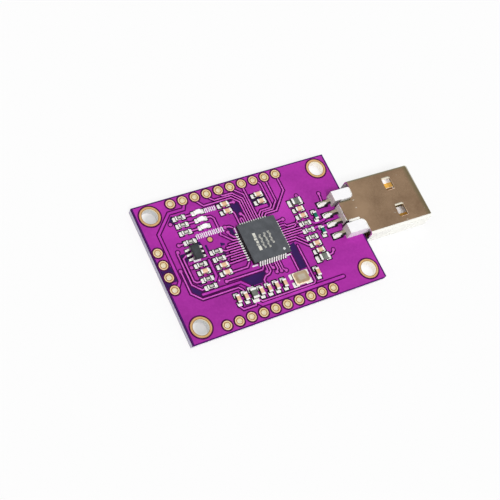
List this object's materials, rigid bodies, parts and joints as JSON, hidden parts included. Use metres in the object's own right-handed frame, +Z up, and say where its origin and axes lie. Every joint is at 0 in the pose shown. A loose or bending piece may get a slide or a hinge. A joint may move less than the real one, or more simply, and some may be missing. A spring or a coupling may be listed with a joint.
{
  "type": "usb to serial adapter module",
  "caption": "Small purple circuit board with a USB-A plug, a flat square chip and rows of plated header holes, which links a computer's USB port to serial or parallel lines.",
  "frame": {"origin": "middle of the board's underside, midway between the mounting holes", "axes": "+X along the board towards the plug, +Y towards the back row of header holes, +Z up out of the side that carries the parts"},
  "size_m": [0.0571, 0.028, 0.0046],
  "materials": {
    "mask_laminate": "glossy purple solder mask over glass laminate",
    "gold_plating": "satin gold over copper",
    "dark_ceramic": "satin",
    "tan_ceramic": "satin",
    "grey_ceramic": "satin",
    "teal_ceramic": "satin",
    "clear_white": "glossy",
    "black_moulding": "fine matte",
    "tinned_lead": "bright",
    "crystal_cover": "satin",
    "plated_steel": "smooth rolled",
    "white_moulding": "satin",
    "gold_contact": "bright",
    "solder": "bright"
  },
  "bodies": {
    "root": {"pcb": "mask_laminate", "mounting_hole_plating": "gold_plating", "header_plating_back": "gold_plating", "header_plating_front": "gold_plating", "header_plating_side": "gold_plating", "test_pad": "gold_plating", "resistor_1": "dark_ceramic", "resistor_2": "dark_ceramic", "resistor_3": "dark_ceramic", "resistor_4": "dark_ceramic", "resistor_5": "dark_ceramic", "resistor_6": "dark_ceramic", "resistor_7": "dark_ceramic", "resistor_8": "dark_ceramic", "resistor_9": "dark_ceramic", "resistor_10": "dark_ceramic", "resistor_11": "dark_ceramic", "resistor_12": "dark_ceramic", "capacitor_1": "tan_ceramic", "capacitor_2": "tan_ceramic", "capacitor_3": "tan_ceramic", "capacitor_4": "tan_ceramic", "capacitor_5": "tan_ceramic", "capacitor_6": "tan_ceramic", "capacitor_7": "tan_ceramic", "capacitor_8": "tan_ceramic", "capacitor_9": "tan_ceramic", "capacitor_10": "tan_ceramic", "capacitor_11": "tan_ceramic", "capacitor_12": "tan_ceramic", "capacitor_13": "tan_ceramic", "capacitor_14": "tan_ceramic", "capacitor_15": "tan_ceramic", "capacitor_16": "tan_ceramic", "capacitor_17": "tan_ceramic", "capacitor_18": "tan_ceramic", "bead_1": "grey_ceramic", "bead_2": "grey_ceramic", "bead_3": "grey_ceramic", "arrester_1": "teal_ceramic", "arrester_2": "teal_ceramic", "led_1": "clear_white", "led_2": "clear_white", "led_3": "clear_white", "chip_body": "black_moulding", "memory_body": "black_moulding", "chip_terminals": "tinned_lead", "memory_leads": "tinned_lead", "crystal_base": "grey_ceramic", "crystal_lid": "crystal_cover", "usb_shell": "plated_steel", "usb_housing": "white_moulding", "usb_contact_1": "gold_contact", "usb_contact_2": "gold_contact", "usb_contact_3": "gold_contact", "usb_contact_4": "gold_contact", "solder_joints": "solder"}
  },
  "joints": []
}
